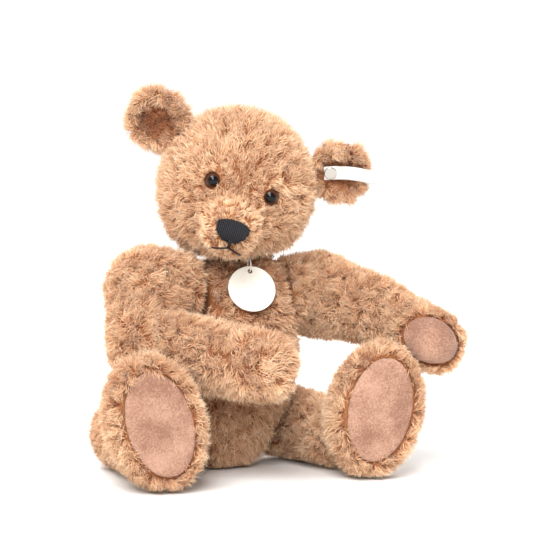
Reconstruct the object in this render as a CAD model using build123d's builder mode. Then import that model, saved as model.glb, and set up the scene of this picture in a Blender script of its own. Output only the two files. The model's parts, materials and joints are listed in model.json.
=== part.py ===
"""Jointed mohair teddy bear, 32 cm size, seated.

Units are millimetres, +Z is up and the bear faces -Y, so its left is +X.
The origin is the middle of the flattened patch under the torso that the
bear sits on.  Head, arms and legs each turn on a cotter pin that clamps a
hardboard disc inside the limb against a second disc inside the torso.
"""
import os
from math import asin, cos, radians, sin

from build123d import *

os.makedirs("parts", exist_ok=True)

# ---- cloth, filling and fits -------------------------------------------
cloth = 2.5              # backing cloth with the lower half of the pile
seat_gap = 0.2           # between filling and the cloth around it
joint_gap = 0.6          # between a limb and the torso at a joint
running_gap = 0.05       # radial, cotter pin in a bore it turns in
waist = 0.96             # a limb narrows slightly between two rounded ends

# ---- joint hardware ----------------------------------------------------
board = 2.5              # hardboard disc thickness
washer_radius = 7.0
washer_thick = 1.0
pin_radius = 1.5
leg_overlap = 0.1        # the two legs of the pin are pressed together
wire_radius = (pin_radius + leg_overlap) / 2  # one leg where it is curled over
curl_radius = 3.0
eye_ring_radius = 2.4
hub_radius = 2.6         # hole in the cloth for the pin
neck_disc = 15.0
shoulder_disc = 11.5
hip_disc = 14.5

# ---- torso -------------------------------------------------------------
torso_lean = 11.4        # toward the bear's left, degrees
torso_bow = 3.4          # forward, degrees
seat_height = 36.0       # centre of the round bottom above the seat
bottom_radius = 40.0
belly_at, belly_radius = 27.0, 43.0
chest_at, chest_radius = 64.0, 37.5
collar_at, collar_radius = 84.0, 27.0
seat_curve = (27.0, 29.5)    # below the round bottom's centre, and out from the axis
collar_curve = (20.0, 18.0)  # above the collar, and out from the axis

# ---- head --------------------------------------------------------------
head_radius = 46.5
head_centre = Vector(13, -6, 172.5)
neck_point = Vector(17, -5.3, 130.5)
head_nod = 10.0
head_tilt = 16.5
head_yaw = -21.0
muzzle_back, muzzle_back_radius = (0, -24, -12), 27.0
muzzle_tip, muzzle_tip_radius = (0, -50, -16), 18.5
eye_bearing = (19.5, -45, 8)
eye_radius = 4.8
eye_height = 4.2
eye_rim = 1.2            # straight edge of the glass before it domes
shank_radius = 1.2
shank_long = 8.0
ear_spot = (58, 2, 25)
ear_radius = 18.0
ear_hollow = 26.0        # radius of the cupped front of an ear
ear_thick = 5.0
button_radius = 4.0
flag_long, flag_wide, flag_thick = 31.0, 9.0, 0.5

# ---- limbs -------------------------------------------------------------
shoulder_at = 72.0
shoulder_out = {"right": 28.5, "left": 26.5}
shoulder_slope = 3.5     # shoulder line falls toward the bear's left
shoulder_radius = 25.0
arm_face = 21.0
thigh_radius = 21.0
leg_face = 20.0
sole_long, sole_wide = 35.0, 23.0
foot_long, foot_wide = 39.0, 26.5
instep_long, instep_wide = 26.0, 20.0
pad_thick = 2.0
card_thick = 1.5

# ---- chest tag ---------------------------------------------------------
tag_radius = 14.5
tag_thick = 1.0
tag_hole = 1.5
tag_bearing = -12.0
tag_slope = 25.0
tag_height = 77.0      # along the torso axis
tag_reach = 33.8
tag_eyelet = 3.2         # hole to the rim of the tag
loop_radius = 4.2
loop_slack = 0.2
thread_radius = 0.4


def save(part, name):
    """Name a finished piece and write it out."""
    part.label = name
    export_step(part, f"parts/{name}.step")


def ball(centre, radius, mode=Mode.ADD):
    """Rounded end of a stuffed shape."""
    with BuildSketch(Plane(origin=centre)) as half:
        with BuildLine():
            CenterArc((0, 0), radius, -90, 180)
            Line((0, -radius), (0, radius))
        make_face()
    revolve(half.sketch, axis=Axis(centre, (0, 1, 0)), mode=mode)


def taper(start, start_radius, end, end_radius):
    """Round, straight-sided stretch between two points."""
    span = end - start
    side = span.cross(Vector(0.31, 0.17, 0.93)).normalized()
    with BuildSketch(Plane(origin=start, x_dir=span.normalized(), z_dir=side)) as half:
        with BuildLine():
            Polyline(
                (0, 0), (span.length, 0), (span.length, end_radius), (0, start_radius), close=True
            )
        make_face()
    revolve(half.sketch, axis=Axis(start, span))


def chain(stations, shrink):
    """Stuffed limb: rounded ends joined by slightly narrower stretches."""
    for centre, radius in stations:
        ball(centre, radius - shrink)
    for (first, wide), (second, narrow) in zip(stations, stations[1:]):
        taper(first, (wide - shrink) * waist, second, (narrow - shrink) * waist)


def root(frame, face_radius, centre, radius, shrink):
    """Flat inner end of a limb, running out to its first rounded end."""
    start = frame.origin + frame.z_dir * (joint_gap + shrink)
    taper(start, face_radius - shrink, centre, (radius - shrink) * waist)


def round_plate(plane, radius, thickness, bore):
    """Disc with a hole, drawn on the plane and thickened along its normal."""
    with BuildPart() as plate:
        with BuildSketch(plane):
            Circle(radius)
            Circle(bore, mode=Mode.SUBTRACT)
        extrude(amount=thickness)
    return plate.part


def drill(frame, radius, low, high):
    """Round hole along a joint axis between two heights."""
    with BuildSketch(frame.offset(low)) as hole:
        Circle(radius)
    extrude(hole.sketch, amount=high - low, mode=Mode.SUBTRACT)


# Heights along a joint axis, measured outward from the torso cloth.
limb_board = joint_gap + cloth
limb_washer = limb_board + board
pin_head = limb_washer + washer_thick
torso_board = -cloth - board
torso_washer = torso_board - washer_thick
pin_tail = torso_washer - seat_gap - curl_radius - wire_radius
limb_pocket = pin_head + 2 * (eye_ring_radius + wire_radius) + seat_gap
torso_pocket = pin_tail - curl_radius - wire_radius - seat_gap
curl_reach = 2 * curl_radius + 2 * wire_radius + 2 * seat_gap


def cotter_pin(frame):
    """Split pin: eye ring in the limb, two legs curled over in the torso."""
    eye = frame.origin + frame.z_dir * (pin_head + eye_ring_radius + wire_radius)
    with BuildPart() as pin:
        with BuildSketch(frame.offset(pin_tail)):
            Circle(pin_radius)
        extrude(amount=pin_head + wire_radius - pin_tail)
        with BuildSketch(Plane(origin=eye, x_dir=frame.z_dir, z_dir=frame.y_dir)):
            with Locations((eye_ring_radius, 0)):
                Circle(wire_radius)
        revolve(axis=Axis(eye, frame.x_dir))
        for turn in (-1, 1):
            leg = frame.origin + frame.z_dir * pin_tail
            middle = leg + frame.y_dir * turn * (curl_radius + pin_radius - wire_radius)
            with BuildSketch(Plane(origin=middle, x_dir=frame.y_dir, z_dir=frame.z_dir)):
                with Locations((-turn * curl_radius, 0)):
                    Circle(wire_radius)
            revolve(axis=Axis(middle, frame.x_dir * turn), revolution_arc=240)
    return pin.part


def limb_pockets(frame, disc_radius):
    """Room in a limb's filling for its disc, washer and pin head."""
    drill(frame, disc_radius + seat_gap, 0, limb_washer + seat_gap)
    drill(frame, washer_radius + seat_gap, 0, limb_pocket)


def torso_pockets(frame, disc_radius):
    """Room in the torso filling for a disc, washer and the curled legs."""
    drill(frame, disc_radius + seat_gap, torso_board - seat_gap, 0)
    drill(frame, max(washer_radius, curl_reach) + seat_gap, torso_pocket, 0)


# ---- frames the pieces are set out from --------------------------------
up = Vector(0, 0, 1)
torso_axis = Vector(sin(radians(torso_lean)), -sin(radians(torso_bow)), 1)
torso_axis = Vector(torso_axis.X, torso_axis.Y, cos(radians(torso_lean))).normalized()
torso_base = Vector(0, 0, seat_height)
shoulder_line = Vector(cos(radians(shoulder_slope)), 0, -sin(radians(shoulder_slope)))
shoulder_mid = torso_base + torso_axis * shoulder_at
neck_axis = (head_centre - neck_point).normalized()

neck = Plane(origin=neck_point, z_dir=neck_axis)
shoulders = {
    side: Plane(origin=shoulder_mid + shoulder_line * turn * shoulder_out[side], z_dir=shoulder_line * turn)
    for side, turn in (("right", -1), ("left", 1))
}


def turned(x, y, z):
    """Direction given in the head's own frame, turned to how the head is set."""
    vector = Vector(x, y, z).rotate(Axis.X, head_nod)
    vector = vector.rotate(Axis.Y, head_tilt)
    return vector.rotate(Axis.Z, head_yaw)


def on_head(x, y, z):
    """Point given in the head's own frame."""
    return head_centre + turned(x, y, z)


def leg_frame(side, splay, tilt):
    """Directions of a leg: along it, up its instep and out from the torso."""
    along = Vector(side * sin(radians(splay)), -cos(radians(splay)), 0)
    out = Vector(side * cos(radians(splay)), sin(radians(splay)), 0)
    instep = up * cos(radians(tilt)) + out * sin(radians(tilt))
    return along, instep, out * cos(radians(tilt)) - up * sin(radians(tilt))


legs = {
    "right": (Vector(-32, 2.5, 29), *leg_frame(-1, 9, 17), 0),
    "left": (Vector(33.5, -1, 27.5), *leg_frame(1, 4, 14), 18),
}
hips = {side: Plane(origin=leg[0], x_dir=leg[1], z_dir=leg[3]) for side, leg in legs.items()}

torso_joints = [
    ("neck", neck, neck_disc, head_radius),
    ("shoulder_right", shoulders["right"], shoulder_disc, shoulder_radius + 2.5),
    ("shoulder_left", shoulders["left"], shoulder_disc, shoulder_radius + 2.5),
    ("hip_right", hips["right"], hip_disc, thigh_radius + joint_gap),
    ("hip_left", hips["left"], hip_disc, thigh_radius + joint_gap),
]


# ---- torso: pear-shaped bag, flattened where it sits and at each joint --
def torso_body(shrink):
    """Pear shape turned about the torso axis, then pressed flat at the joints."""
    small = (bottom_radius - shrink) / bottom_radius
    top = (collar_radius - shrink) / collar_radius
    with BuildPart() as body:
        side = torso_axis.cross(Vector(0, 1, 0)).normalized()
        with BuildSketch(Plane(origin=torso_base, x_dir=torso_axis, z_dir=side)):
            with BuildLine():
                outline = Spline(
                    (-bottom_radius * small, 0),
                    (-seat_curve[0] * small, seat_curve[1] * small),
                    (0, bottom_radius - shrink),
                    (belly_at, belly_radius - shrink),
                    (chest_at, chest_radius - shrink),
                    (collar_at, collar_radius - shrink),
                    (collar_at + collar_curve[0] * top, collar_curve[1] * top),
                    (collar_at + collar_radius * top, 0),
                    tangents=((0, 1), (0, -1)),
                )
                Line(outline @ 1, outline @ 0)
            make_face()
        revolve(axis=Axis(torso_base, torso_axis))
        split(bisect_by=Plane.XY.offset(shrink), keep=Keep.TOP)
        for _, frame, _, pressed in torso_joints:
            drill(frame, pressed + shrink, -shrink, 2 * head_radius)
    return body.part


# Round tag plane: its face looks out from the chest, its y axis runs up it.
tag_out = Vector(sin(radians(tag_bearing)), -cos(radians(tag_bearing)), 0)
tag_normal = tag_out * cos(radians(tag_slope)) + up * sin(radians(tag_slope))
tag_across = up.cross(tag_out).normalized()
tag_centre = torso_base + torso_axis * tag_height + tag_out * tag_reach
tag_plane = Plane(origin=tag_centre, x_dir=tag_across, z_dir=tag_normal)
tag_pivot = tag_centre + tag_plane.y_dir * (tag_radius - tag_eyelet)


def thread_loop(thickness, mode=Mode.ADD):
    """Loop of thread through the tag's hole and the chest cloth."""
    middle = tag_pivot + tag_plane.y_dir * (loop_radius - loop_slack)
    with BuildSketch(Plane(origin=middle, x_dir=tag_plane.y_dir, z_dir=tag_normal)) as wire:
        with Locations((-loop_radius, 0)):
            Circle(thickness)
    revolve(wire.sketch, axis=Axis(middle, tag_across), mode=mode)


torso_outside = torso_body(0)
with BuildPart() as torso_skin:
    add(torso_outside)
    add(torso_body(cloth), mode=Mode.SUBTRACT)
    for _, frame, _, _ in torso_joints:
        drill(frame, hub_radius, -2 * cloth, cloth)
    thread_loop(thread_radius + seat_gap, mode=Mode.SUBTRACT)
save(torso_skin.part, "torso_skin")

with BuildPart() as torso_stuffing:
    add(torso_body(cloth + seat_gap))
    for _, frame, disc_radius, _ in torso_joints:
        torso_pockets(frame, disc_radius)
    thread_loop(thread_radius + seat_gap, mode=Mode.SUBTRACT)
save(torso_stuffing.part, "torso_stuffing")

for name, frame, disc_radius, _ in torso_joints:
    inner_bore = pin_radius + running_gap
    disc = round_plate(frame.offset(torso_board), disc_radius, board, inner_bore)
    save(disc, f"{name}_torso_disc")
    washer = round_plate(frame.offset(torso_washer), washer_radius, washer_thick, inner_bore)
    save(washer, f"{name}_torso_washer")

with BuildPart() as tag_loop:
    thread_loop(thread_radius)
save(tag_loop.part, "tag_loop")

# Closing seam down the back: short thread bars laid across the seam line.
stitch_count, stitch_pitch, stitch_long, stitch_radius = 9, 7.0, 5.0, 0.4
seam_start = 20.0
with BuildPart() as back_seam_stitching:
    for index in range(stitch_count):
        height = seam_start + index * stitch_pitch
        across = torso_axis.cross(Vector(0, 1, 0)).normalized()
        from_axis = torso_base + torso_axis * height
        probe = Edge.make_line(from_axis, from_axis + Vector(0, 80, 0))
        hit = (probe & torso_outside).vertices().sort_by(Axis.Y)[-1]
        centre = Vector(hit.X, hit.Y + stitch_radius + seat_gap, hit.Z)
        start = centre - across * stitch_long / 2
        with BuildSketch(Plane(origin=start, z_dir=across)):
            Circle(stitch_radius)
        extrude(amount=stitch_long)
save(back_seam_stitching.part, "back_seam_stitching")

# ---- chest tag: blank card disc hanging from its thread -----------------
with BuildPart() as chest_tag:
    with BuildSketch(tag_plane.offset(-tag_thick / 2)):
        Circle(tag_radius)
        with Locations((0, tag_radius - tag_eyelet)):
            Circle(tag_hole, mode=Mode.SUBTRACT)
    extrude(amount=tag_thick)
save(chest_tag.part, "chest_tag")


# ---- head --------------------------------------------------------------
def head_body(shrink):
    """Ball of the skull with the muzzle drawn out of its face."""
    with BuildPart() as body:
        ball(head_centre, head_radius - shrink)
        split(bisect_by=neck.offset(joint_gap + shrink), keep=Keep.TOP)
        back, tip = on_head(*muzzle_back), on_head(*muzzle_tip)
        chain([(back, muzzle_back_radius), (tip, muzzle_tip_radius)], shrink)
    return body.part


def eye_plane(side):
    """Plane on the skull cloth, facing out, at one eye."""
    x, y, z = eye_bearing
    facing = turned(side * x, y, z).normalized()
    return Plane(origin=head_centre + facing * head_radius, z_dir=facing)


def ear_plane(side):
    """Plane of an ear: z looks out of its hollow, x runs away from the head."""
    x, y, z = ear_spot
    away = turned(side * 0.94, 0.0, 0.34).normalized()
    facing = turned(side * 0.42, -0.9, -0.05)
    facing = (facing - away * facing.dot(away)).normalized()
    return Plane(origin=on_head(side * x, y, z), x_dir=away, z_dir=facing)


eyes = {"right": eye_plane(-1), "left": eye_plane(1)}
ears = {"right": ear_plane(-1), "left": ear_plane(1)}
eye_lock = -cloth - 1.5
dome_rise = eye_height - eye_rim
dome_radius = (eye_radius**2 + dome_rise**2) / (2 * dome_rise)

with BuildPart() as head_skin:
    add(head_body(0))
    add(head_body(cloth), mode=Mode.SUBTRACT)
    drill(neck, hub_radius, -cloth, 2 * cloth)
    for eye in eyes.values():
        drill(eye, shank_radius + seat_gap, -2 * cloth, cloth)
save(head_skin.part, "head_skin")

with BuildPart() as head_stuffing:
    add(head_body(cloth + seat_gap))
    limb_pockets(neck, neck_disc)
    for eye in eyes.values():
        drill(eye, eye_radius + seat_gap, -10, 0)
save(head_stuffing.part, "head_stuffing")

for side, eye in eyes.items():
    with BuildPart() as glass_eye:
        with BuildSketch(Plane(origin=eye.origin, x_dir=eye.x_dir, z_dir=-eye.y_dir)):
            with BuildLine():
                shank = Polyline(
                    (0, -shank_long),
                    (shank_radius, -shank_long),
                    (shank_radius, seat_gap),
                    (eye_radius, seat_gap),
                    (eye_radius, eye_rim),
                )
                halfway = asin(eye_radius / dome_radius) / 2
                dome_mid = (
                    dome_radius * sin(halfway),
                    eye_height - dome_radius * (1 - cos(halfway)),
                )
                dome = ThreePointArc(shank @ 1, dome_mid, (0, eye_height))
                Line(dome @ 1, shank @ 0)
            make_face()
        revolve(axis=Axis(eye.origin, eye.z_dir))
    save(glass_eye.part, f"eye_{side}")

with BuildPart() as eye_washers:
    for eye in eyes.values():
        with BuildSketch(eye.offset(eye_lock - 0.3)):
            Circle(eye_radius)
            Circle(shank_radius, mode=Mode.SUBTRACT)
        extrude(amount=1.5)
save(eye_washers.part, "eye_washers")

# Nose and mouth: thread built up on the end of the muzzle.
nose_facing = turned(0, -0.99, 0.1).normalized()
nose_plane = Plane(
    origin=on_head(*muzzle_tip), x_dir=turned(1, 0, 0), z_dir=nose_facing
)
thread_height = 1.4
with BuildPart() as nose_embroidery:
    ball(nose_plane.origin, muzzle_tip_radius + thread_height)
    ball(nose_plane.origin, muzzle_tip_radius + seat_gap / 2, mode=Mode.SUBTRACT)
    with BuildSketch(nose_plane):
        with BuildLine():
            Polyline((-10.5, 3), (-9, -2), (-4, -6.5), (4, -6.5), (9, -2), (10.5, 3))
            Spline((10.5, 3), (6, 6.2), (0, 6.8), (-6, 6.2), (-10.5, 3))
        make_face()
    extrude(amount=2 * muzzle_tip_radius, mode=Mode.INTERSECT)
save(nose_embroidery.part, "nose_embroidery")

stitch_half = 0.8
with BuildPart() as mouth_embroidery:
    ball(nose_plane.origin, muzzle_tip_radius + thread_height / 2 + seat_gap)
    ball(nose_plane.origin, muzzle_tip_radius + seat_gap / 2, mode=Mode.SUBTRACT)
    with BuildSketch(nose_plane):
        with BuildLine():
            Polyline(
                (-stitch_half, -6.6),
                (-stitch_half, -10.2),
                (-8.4, -12.6),
                (-8.9, -14.2),
                (0, -11.8),
                (8.9, -14.2),
                (8.4, -12.6),
                (stitch_half, -10.2),
                (stitch_half, -6.6),
                close=True,
            )
        make_face()
    extrude(amount=2 * muzzle_tip_radius, mode=Mode.INTERSECT)
save(mouth_embroidery.part, "mouth_embroidery")

disc = round_plate(neck.offset(limb_board), neck_disc, board, pin_radius)
save(disc, "neck_head_disc")
washer = round_plate(neck.offset(limb_washer), washer_radius, washer_thick, pin_radius)
save(washer, "neck_head_washer")
save(cotter_pin(neck), "neck_pin")

# Ears: two layers of cloth turned to a shallow cup and sewn to the skull.
ear_floor = ear_hollow - (ear_hollow**2 - ear_radius**2) ** 0.5
button_spot = (-5.0, 0.0)
for side, ear in ears.items():
    with BuildPart() as ear_cup:
        bowl = ear.origin + ear.z_dir * (ear_hollow - ear_floor / 2)
        ball(bowl, ear_hollow + ear_thick)
        ball(bowl, ear_hollow, mode=Mode.SUBTRACT)
        with BuildSketch(ear.offset(-2 * ear_thick)):
            Circle(ear_radius)
        extrude(amount=4 * ear_thick, mode=Mode.INTERSECT)
        ball(head_centre, head_radius + seat_gap, mode=Mode.SUBTRACT)
        if side == "left":
            with BuildSketch(ear.offset(-2 * ear_thick)):
                with Locations(button_spot):
                    Circle(shank_radius)
            extrude(amount=4 * ear_thick, mode=Mode.SUBTRACT)
    save(ear_cup.part, f"ear_{side}")

# Button riveted through the left ear with a blank cloth flag under it.
left_ear = ears["left"]
hollow_floor = -ear_floor / 2
ear_back = hollow_floor - ear_thick
button_seat = hollow_floor + 2.2
with BuildPart() as ear_button:
    with BuildSketch(left_ear.offset(button_seat + flag_thick)):
        with Locations(button_spot):
            Circle(button_radius)
    extrude(amount=1.0)
    outward = Axis(left_ear.origin, left_ear.z_dir)
    fillet(ear_button.faces().sort_by(outward)[-1].edges(), 0.6)
    with BuildSketch(left_ear.offset(ear_back - 1.6)):
        with Locations(button_spot):
            Circle(shank_radius)
    extrude(amount=button_seat + 1.0 - ear_back + 1.6)
save(ear_button.part, "ear_button")

with BuildPart() as ear_button_washer:
    with BuildSketch(left_ear.offset(ear_back - 1.2)):
        with Locations(button_spot):
            Circle(button_radius)
            Circle(shank_radius, mode=Mode.SUBTRACT)
    extrude(amount=1.0)
save(ear_button_washer.part, "ear_button_washer")

flag_start = button_spot[0] - button_radius
ribbon = [
    (flag_start, 0),
    (button_spot[0] + button_radius, 0),
    (13, 5.4),
    (flag_start + flag_long, 10.2),
]
with BuildPart() as ear_flag:
    flag_side = Plane(
        origin=left_ear.origin + left_ear.z_dir * button_seat,
        x_dir=left_ear.x_dir,
        z_dir=-left_ear.y_dir,
    )
    with BuildSketch(flag_side):
        with BuildLine():
            under = Spline(*ribbon, tangents=((1, 0), (1, 0.2)))
            over = Spline(*[(x, y + flag_thick) for x, y in ribbon], tangents=((1, 0), (1, 0.2)))
            Line(under @ 0, over @ 0)
            Line(under @ 1, over @ 1)
        make_face()
    extrude(amount=flag_wide / 2, both=True)
    with BuildSketch(left_ear.offset(button_seat - 1)) as hole:
        with Locations(button_spot):
            Circle(shank_radius + seat_gap)
    extrude(hole.sketch, amount=3, mode=Mode.SUBTRACT)
save(ear_flag.part, "ear_flag")


# ---- arms: curved sausage with a flat inner face at the shoulder --------
arm_stations = {
    "right": [(31.0, None), (Vector(-59.5, -34, 80), 22.0), (Vector(-8, -91, 70), 18.5)],
    "left": [(29.5, None), (Vector(86, -45.5, 96.5), 20.0), (Vector(105.5, -89, 79.5), 17.5)],
}
palm_facing = {"right": Vector(0.75, 0.6, -0.2), "left": Vector(-0.7, -0.68, 0.22)}
palm_long, palm_wide = 16.0, 13.5


def arm_body(side, shrink):
    """Shoulder end, elbow and paw joined in one stuffed shape."""
    frame = shoulders[side]
    (reach, _), elbow, paw = arm_stations[side]
    shoulder = frame.origin + frame.z_dir * reach
    with BuildPart() as body:
        chain([(shoulder, shoulder_radius), elbow, paw], shrink)
        root(frame, arm_face, shoulder, shoulder_radius, shrink)
    return body.part


def palm_prism(side, extra):
    """Oval column standing on the palm, along the way the palm faces."""
    (elbow, _), (paw, paw_radius) = arm_stations[side][1:]
    facing = palm_facing[side].normalized()
    forearm = (paw - elbow).normalized()
    lengthwise = (forearm - facing * forearm.dot(facing)).normalized()
    with BuildSketch(Plane(origin=paw, x_dir=lengthwise, z_dir=facing)) as oval:
        Ellipse(palm_long + extra, palm_wide + extra)
    return extrude(oval.sketch, amount=2 * paw_radius, mode=Mode.PRIVATE)


for side, frame in shoulders.items():
    with BuildPart() as arm_shell:
        add(arm_body(side, 0))
        add(arm_body(side, cloth), mode=Mode.SUBTRACT)
        drill(frame, hub_radius, 0, 2 * cloth)
    with BuildPart() as arm_skin:
        add(arm_shell.part)
        add(palm_prism(side, seat_gap / 2), mode=Mode.SUBTRACT)
    save(arm_skin.part, f"arm_{side}_skin")
    with BuildPart() as paw_pad:
        add(arm_shell.part)
        add(palm_prism(side, -seat_gap / 2), mode=Mode.INTERSECT)
    save(paw_pad.part, f"paw_pad_{side}")
    with BuildPart() as arm_stuffing:
        add(arm_body(side, cloth + seat_gap))
        limb_pockets(frame, shoulder_disc)
    save(arm_stuffing.part, f"arm_{side}_stuffing")
    disc = round_plate(frame.offset(limb_board), shoulder_disc, board, pin_radius)
    save(disc, f"shoulder_{side}_arm_disc")
    washer = round_plate(frame.offset(limb_washer), washer_radius, washer_thick, pin_radius)
    save(washer, f"shoulder_{side}_arm_washer")
    save(cotter_pin(frame), f"shoulder_{side}_pin")


# ---- legs: thigh, then a foot with a flat card-stiffened sole -----------
thigh_out = 24.0
rim = cloth + 1.0        # width of cloth round the edge of a sole
ankle = (50.0, 0.0, 18.5)
instep = (74.0, 8.0, 19.5)


def sole_plane(side):
    """Plane of the sole: z points out of it, x runs up to the toes."""
    hip, along, up_foot, out, twist = legs[side]
    turn = radians(twist)
    facing = along * cos(turn) - out * sin(turn)
    centre = hip + along * 83 + up_foot * 19.5 + out * thigh_out + facing * 20
    return Plane(origin=centre, x_dir=up_foot, z_dir=facing)


def leg_body(side, shrink):
    """Round thigh tapering to the ankle, and a foot swelling to the sole."""
    hip, along, up_foot, out, _ = legs[side]
    thigh = hip + out * thigh_out
    sole = sole_plane(side)
    stations = [(thigh, thigh_radius)]
    for forward, rise, radius in (ankle, instep):
        stations.append((thigh + along * forward + up_foot * rise, radius))
    with BuildPart() as body:
        chain(stations, shrink)
        root(hips[side], leg_face, thigh, thigh_radius, shrink)
        with BuildSketch(sole.offset(-shrink)):
            Ellipse(sole_long - shrink, sole_wide - shrink)
        with BuildSketch(sole.offset(-12)):
            Ellipse(foot_long - shrink, foot_wide - shrink)
        with BuildSketch(sole.offset(-34 + shrink)):
            Ellipse(instep_long - shrink, instep_wide - shrink)
        loft()
        split(bisect_by=Plane.XY.offset(shrink), keep=Keep.TOP)
    return body.part


for side, frame in hips.items():
    sole = sole_plane(side)
    with BuildPart() as leg_skin:
        add(leg_body(side, 0))
        add(leg_body(side, cloth), mode=Mode.SUBTRACT)
        with BuildSketch(sole.offset(-2 * cloth)):
            Ellipse(sole_long - rim + seat_gap, sole_wide - rim + seat_gap)
        extrude(amount=3 * cloth, mode=Mode.SUBTRACT)
        drill(frame, hub_radius, 0, 2 * cloth)
    save(leg_skin.part, f"leg_{side}_skin")
    with BuildPart() as leg_stuffing:
        add(leg_body(side, cloth + seat_gap))
        split(bisect_by=sole.offset(-pad_thick - card_thick - seat_gap), keep=Keep.BOTTOM)
        limb_pockets(frame, hip_disc)
    save(leg_stuffing.part, f"leg_{side}_stuffing")
    with BuildPart() as foot_pad:
        with BuildSketch(sole.offset(-pad_thick)):
            Ellipse(sole_long - rim, sole_wide - rim)
        extrude(amount=pad_thick)
    save(foot_pad.part, f"foot_pad_{side}")
    with BuildPart() as foot_insole:
        with BuildSketch(sole.offset(-pad_thick - card_thick)):
            Ellipse(sole_long - rim, sole_wide - rim)
        extrude(amount=card_thick)
    save(foot_insole.part, f"foot_insole_{side}")
    disc = round_plate(frame.offset(limb_board), hip_disc, board, pin_radius)
    save(disc, f"hip_{side}_leg_disc")
    washer = round_plate(frame.offset(limb_washer), washer_radius, washer_thick, pin_radius)
    save(washer, f"hip_{side}_leg_washer")
    save(cotter_pin(frame), f"hip_{side}_pin")
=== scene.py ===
"""Jointed teddy bear in curly mohair plush, seated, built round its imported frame."""

import json
import math

import bmesh
import bpy
import numpy as np
from mathutils import Matrix, Vector, kdtree
from mathutils.bvhtree import BVHTree

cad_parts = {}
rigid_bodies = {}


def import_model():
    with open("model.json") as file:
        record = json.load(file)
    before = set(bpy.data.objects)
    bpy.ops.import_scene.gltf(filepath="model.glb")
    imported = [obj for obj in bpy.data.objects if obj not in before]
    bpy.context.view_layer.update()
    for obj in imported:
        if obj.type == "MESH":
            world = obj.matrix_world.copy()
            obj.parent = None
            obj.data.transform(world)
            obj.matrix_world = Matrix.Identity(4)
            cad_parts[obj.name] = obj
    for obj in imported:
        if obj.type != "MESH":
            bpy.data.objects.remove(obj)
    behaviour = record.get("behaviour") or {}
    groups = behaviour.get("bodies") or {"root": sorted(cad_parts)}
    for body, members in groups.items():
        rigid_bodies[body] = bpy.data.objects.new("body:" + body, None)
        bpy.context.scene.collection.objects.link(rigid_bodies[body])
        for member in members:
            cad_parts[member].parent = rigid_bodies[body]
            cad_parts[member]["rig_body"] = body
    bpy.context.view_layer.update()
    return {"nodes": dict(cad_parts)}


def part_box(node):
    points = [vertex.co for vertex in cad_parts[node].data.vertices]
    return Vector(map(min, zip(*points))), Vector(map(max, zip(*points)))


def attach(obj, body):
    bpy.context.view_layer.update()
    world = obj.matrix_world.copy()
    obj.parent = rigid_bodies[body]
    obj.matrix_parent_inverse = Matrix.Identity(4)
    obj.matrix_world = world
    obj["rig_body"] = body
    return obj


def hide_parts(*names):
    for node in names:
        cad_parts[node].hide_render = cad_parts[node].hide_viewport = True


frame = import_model()
nodes = frame["nodes"]
mm = 0.001

# ---- Table top, light and camera ----------------------------------------
# A wide sheet of white studio paper, lit by large soft boxes from the upper
# left and the front, so shadows under the bear stay pale and soft-edged.


def linear(text, alpha=1.0):
    """sRGB hex colour as the linear values a shader wants."""
    channels = [int(text[i : i + 2], 16) / 255 for i in (1, 3, 5)]
    curve = [c / 12.92 if c <= 0.04045 else ((c + 0.055) / 1.055) ** 2.4 for c in channels]
    return (*curve, alpha)


def add_node(tree, kind, settings=None, values=None, links=None):
    """One node with its settings, socket values and incoming links."""
    node = tree.nodes.new(kind)
    for name, value in (settings or {}).items():
        setattr(node, name, value)
    for name, value in (values or {}).items():
        node.inputs[name].default_value = value
    for name, source in (links or {}).items():
        tree.links.new(source, node.inputs[name])
    return node


def new_material(name):
    """Empty node material and its tree."""
    material = bpy.data.materials.new(name)
    material.use_nodes = True
    material.node_tree.nodes.clear()
    return material, material.node_tree


def finish_material(tree, shader):
    """Sends a shader to the surface output."""
    add_node(tree, "ShaderNodeOutputMaterial", links={"Surface": shader.outputs[0]})


# Matt paper, barely warm, with no sheen of its own.
paper, tree = new_material("white_studio_paper")
finish_material(
    tree,
    add_node(
        tree,
        "ShaderNodeBsdfPrincipled",
        values={"Base Color": linear("#F7F6F4"), "Roughness": 0.9, "Specular IOR Level": 0.2},
    ),
)
azimuth, elevation = math.radians(-26.0), math.radians(4.5)
sheet_reach = 6.0  # half the side of the paper and of the backdrop, in metres
mesh = bpy.data.meshes.new("studio_floor")
shape = bmesh.new()
bmesh.ops.create_grid(shape, x_segments=2, y_segments=2, size=sheet_reach)
shape.to_mesh(mesh)
shape.free()
floor = bpy.data.objects.new("studio_floor", mesh)
mesh.materials.append(paper)
bpy.context.collection.objects.link(floor)

# An upright white sheet, lit until the far edge of the paper melts into it.
glow, tree = new_material("lit_white_backdrop")
finish_material(
    tree,
    add_node(
        tree,
        "ShaderNodeEmission",
        values={"Color": linear("#FFFFFF"), "Strength": 1.05},
    ),
)
mesh = bpy.data.meshes.new("studio_backdrop")
shape = bmesh.new()
bmesh.ops.create_grid(shape, x_segments=2, y_segments=2, size=sheet_reach)
bmesh.ops.rotate(shape, verts=shape.verts, matrix=Matrix.Rotation(math.radians(90), 3, "X"))
bmesh.ops.rotate(shape, verts=shape.verts, matrix=Matrix.Rotation(azimuth, 3, "Z"))
bmesh.ops.translate(shape, verts=shape.verts, vec=(2.2, 4.5, 0.0))
shape.to_mesh(mesh)
shape.free()
mesh.materials.append(glow)
backdrop = bpy.data.objects.new("studio_backdrop", mesh)
bpy.context.collection.objects.link(backdrop)

world = bpy.data.worlds.new("studio_world")
world.use_nodes = True
world.node_tree.nodes["Background"].inputs["Color"].default_value = linear("#FFFFFF")
world.node_tree.nodes["Background"].inputs["Strength"].default_value = 0.62
bpy.context.scene.world = world

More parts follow.
